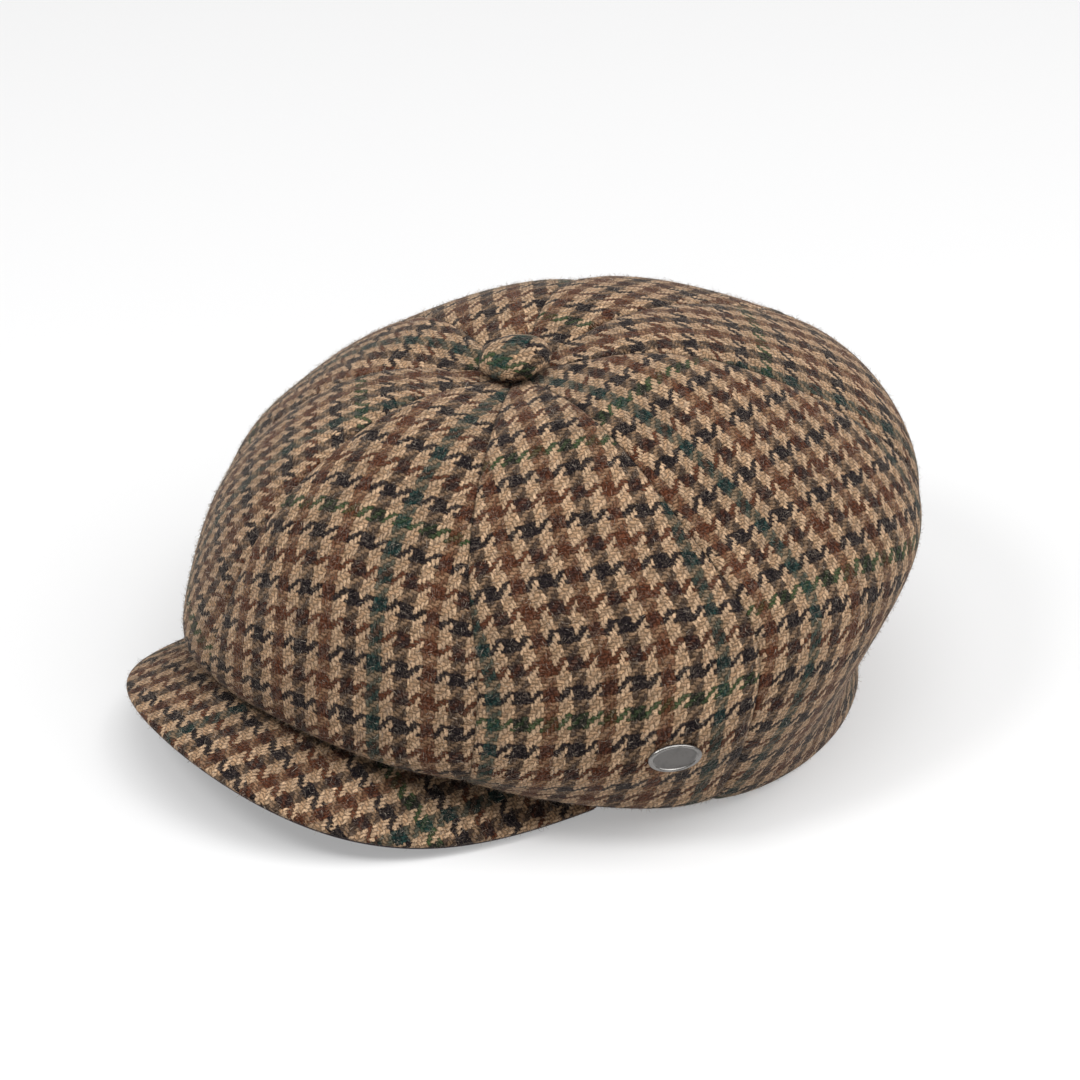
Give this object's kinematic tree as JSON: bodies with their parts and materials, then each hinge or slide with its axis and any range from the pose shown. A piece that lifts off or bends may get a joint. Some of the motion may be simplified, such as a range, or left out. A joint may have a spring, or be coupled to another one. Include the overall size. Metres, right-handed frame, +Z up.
{
  "type": "baker boy cap",
  "caption": "Tweed baker boy cap: a full panelled crown gathered under a covered button, a short curved peak, and a small plain metal pin on one side.",
  "frame": {"origin": "on the surface the cap rests on, under the middle of its overall box", "axes": "+Z up, the peak points to -Y, the wearer's left is +X"},
  "size_m": [0.2668, 0.2884, 0.1307],
  "materials": {
    "crown_tweed": "matt wool tweed in a small broken check",
    "peak_tweed": "matt wool tweed in a small broken check",
    "button_tweed": "matt wool tweed in a small broken check",
    "dark_cloth": "dark plain cotton cloth",
    "pin_metal": "polished, lightly worn"
  },
  "bodies": {
    "root": {"crown_panel_1": "crown_tweed", "crown_panel_2": "crown_tweed", "crown_panel_3": "crown_tweed", "crown_panel_4": "crown_tweed", "crown_panel_5": "crown_tweed", "crown_panel_6": "crown_tweed", "crown_panel_7": "crown_tweed", "crown_panel_8": "crown_tweed", "peak_cover": "peak_tweed", "peak_underside": "dark_cloth", "top_button": "button_tweed", "pin_badge": "pin_metal"}
  },
  "joints": []
}
